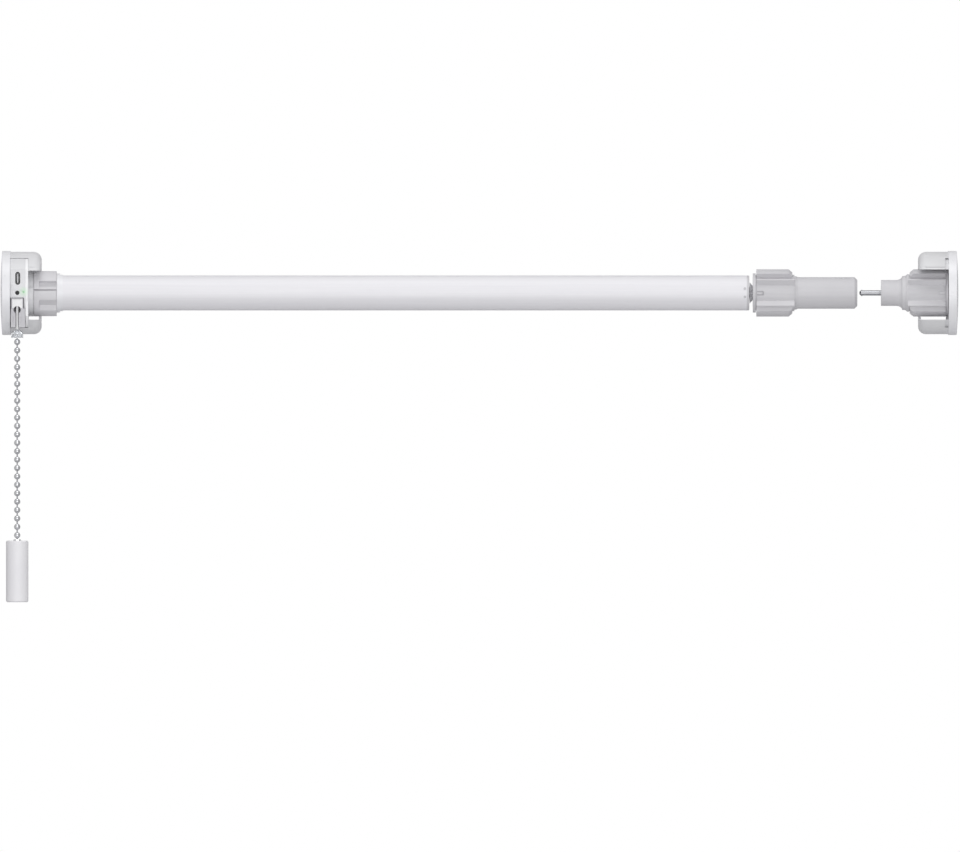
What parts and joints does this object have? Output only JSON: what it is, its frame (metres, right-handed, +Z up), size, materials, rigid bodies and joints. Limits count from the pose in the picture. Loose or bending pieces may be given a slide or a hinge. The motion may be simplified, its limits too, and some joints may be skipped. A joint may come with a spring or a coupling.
{
  "type": "tubular roller blind motor set",
  "caption": "Battery tubular motor for a roller blind, with crown, drive adapter, pull chain with pendant, charging socket, two wall brackets and a sliding idler.",
  "frame": {"origin": "middle of the motor bracket's wall flange, on the wall", "axes": "+X along the motor from its bracket to the idler's bracket, +Y into the wall, +Z up"},
  "size_m": [0.6844, 0.06, 0.2509],
  "materials": {
    "cap_white": "satin",
    "drum_white": "satin",
    "head_white": "satin",
    "tube_white": "satin",
    "grey_plastic": "satin",
    "black_plastic": "matte",
    "dark_plastic": "matte",
    "zinc_steel": "zinc plated",
    "plate_white": "powder coated",
    "shaft_grey": "satin",
    "pin_steel": "ground",
    "spring_steel": "bright",
    "chain_steel": "polished",
    "clear_plastic": "clear",
    "light_green": "clear",
    "pendant_grey": "satin",
    "pull_white": "satin",
    "board_green": "satin",
    "cell_blue": "film",
    "copper_core": "laminated",
    "magnet_black": "matte",
    "rubber_black": "matte",
    "gear_natural": "satin",
    "sintered": "sintered",
    "bush_natural": "satin"
  },
  "bodies": {
    "fixed": {"motor_cap": "cap_white", "motor_drum": "drum_white", "motor_plate": "plate_white", "idler_cap": "cap_white", "idler_drum": "drum_white", "idler_plate": "plate_white", "head_housing": "head_white", "head_flange": "head_white", "head_back_plate": "zinc_steel", "head_screws": "zinc_steel", "head_board": "board_green", "charging_shell": "black_plastic", "charging_tongue": "dark_plastic", "button_switch": "dark_plastic", "light_guide": "light_green", "pull_frame": "grey_plastic", "pull_cover": "pull_white", "pull_spring": "spring_steel", "pull_switch": "dark_plastic", "crown_collar": "head_white", "tube_collar": "head_white", "motor_tube": "tube_white", "battery_cells": "cell_blue", "battery_tray": "dark_plastic", "control_board": "board_green", "board_carrier": "dark_plastic", "motor_can": "zinc_steel", "motor_magnets": "magnet_black", "motor_end_cap": "black_plastic", "motor_damper": "rubber_black", "gearbox_plate": "zinc_steel", "ring_gear": "zinc_steel", "output_bush": "sintered", "tube_end_plug": "head_white", "end_screws": "zinc_steel", "idler_axle": "pin_steel", "axle_clip": "spring_steel"},
    "crown": {"crown": "grey_plastic"},
    "output": {"output_shaft": "shaft_grey", "drive_adapter": "grey_plastic", "adapter_screw": "zinc_steel"},
    "first_carrier": {"first_carrier": "zinc_steel"},
    "rotor": {"rotor": "copper_core", "count_magnet": "magnet_black"},
    "button": {"program_button": "black_plastic"},
    "pull": {"pull_slider": "pull_white", "pull_wire": "pull_white"},
    "connector": {"chain_connector": "clear_plastic"},
    "chain": {"bead_chain": "chain_steel", "pendant": "pendant_grey", "pendant_ferrule": "zinc_steel"},
    "bush": {"idler_bush": "bush_natural", "bush_clip": "spring_steel"},
    "plug": {"idler_plug": "grey_plastic"},
    "first_planet_a": {"first_planet_a": "gear_natural"},
    "first_planet_b": {"first_planet_b": "gear_natural"},
    "first_planet_c": {"first_planet_c": "gear_natural"},
    "second_planet_a": {"second_planet_a": "gear_natural"},
    "second_planet_b": {"second_planet_b": "gear_natural"},
    "second_planet_c": {"second_planet_c": "gear_natural"}
  },
  "joints": [
    {"name": "crown_spin", "type": "hinge", "parent": "fixed", "child": "crown", "pos_m": [0.0137, -0.03, 0], "axis": [1, 0, 0], "continuous": true},
    {"name": "output_spin", "type": "hinge", "parent": "fixed", "child": "output", "pos_m": [0.5196, -0.03, 0], "axis": [1, 0, 0], "continuous": true},
    {"name": "first_carrier_spin", "type": "hinge", "parent": "fixed", "child": "first_carrier", "pos_m": [0.465, -0.03, 0], "axis": [1, 0, 0], "continuous": true},
    {"name": "rotor_spin", "type": "hinge", "parent": "fixed", "child": "rotor", "pos_m": [0.432, -0.03, 0], "axis": [1, 0, 0], "continuous": true},
    {"name": "first_planet_a_spin", "type": "hinge", "parent": "first_carrier", "child": "first_planet_a", "pos_m": [0.4605, -0.024, 0], "axis": [1, 0, 0], "continuous": true},
    {"name": "first_planet_b_spin", "type": "hinge", "parent": "first_carrier", "child": "first_planet_b", "pos_m": [0.4605, -0.033, 0.0052], "axis": [1, 0, 0], "continuous": true},
    {"name": "first_planet_c_spin", "type": "hinge", "parent": "first_carrier", "child": "first_planet_c", "pos_m": [0.4605, -0.033, -0.0052], "axis": [1, 0, 0], "continuous": true},
    {"name": "second_planet_a_spin", "type": "hinge", "parent": "output", "child": "second_planet_a", "pos_m": [0.471, -0.024, 0], "axis": [1, 0, 0], "continuous": true},
    {"name": "second_planet_b_spin", "type": "hinge", "parent": "output", "child": "second_planet_b", "pos_m": [0.471, -0.033, 0.0052], "axis": [1, 0, 0], "continuous": true},
    {"name": "second_planet_c_spin", "type": "hinge", "parent": "output", "child": "second_planet_c", "pos_m": [0.471, -0.033, -0.0052], "axis": [1, 0, 0], "continuous": true},
    {"name": "idler_slide", "type": "slide", "parent": "fixed", "child": "bush", "axis": [-1, 0, 0], "range_m": [0, 0.012]},
    {"name": "idler_spin", "type": "hinge", "parent": "bush", "child": "plug", "pos_m": [0.632, -0.03, 0], "axis": [1, 0, 0], "continuous": true},
    {"name": "button_press", "type": "slide", "parent": "fixed", "child": "button", "axis": [0, 1, 0], "range_m": [0, 0.0005], "stiffness_N_per_m": 600, "springref_m": -0.001},
    {"name": "pull_slide", "type": "slide", "parent": "fixed", "child": "pull", "axis": [0, 0, -1], "range_m": [0, 0.006], "stiffness_N_per_m": 150, "springref_m": -0.006, "deforming": ["pull_spring"]},
    {"name": "chain_swing", "type": "hinge", "parent": "pull", "child": "connector", "pos_m": [-0.0059, -0.052, -0.026], "axis": [1, 0, 0], "range_deg": [-30, 12]},
    {"name": "chain_sway", "type": "hinge", "parent": "connector", "child": "chain", "pos_m": [-0.0059, -0.052, -0.0291], "axis": [0, 1, 0], "range_deg": [-25, 25]}
  ],
  "couplings": [
    {"joint": "first_carrier_spin", "follows": "output_spin", "ratio": 5},
    {"joint": "rotor_spin", "follows": "output_spin", "ratio": 25},
    {"joint": "first_planet_a_spin", "follows": "output_spin", "ratio": -13.333},
    {"joint": "first_planet_b_spin", "follows": "output_spin", "ratio": -13.333},
    {"joint": "first_planet_c_spin", "follows": "output_spin", "ratio": -13.333},
    {"joint": "second_planet_a_spin", "follows": "output_spin", "ratio": -2.6667},
    {"joint": "second_planet_b_spin", "follows": "output_spin", "ratio": -2.6667},
    {"joint": "second_planet_c_spin", "follows": "output_spin", "ratio": -2.6667}
  ]
}
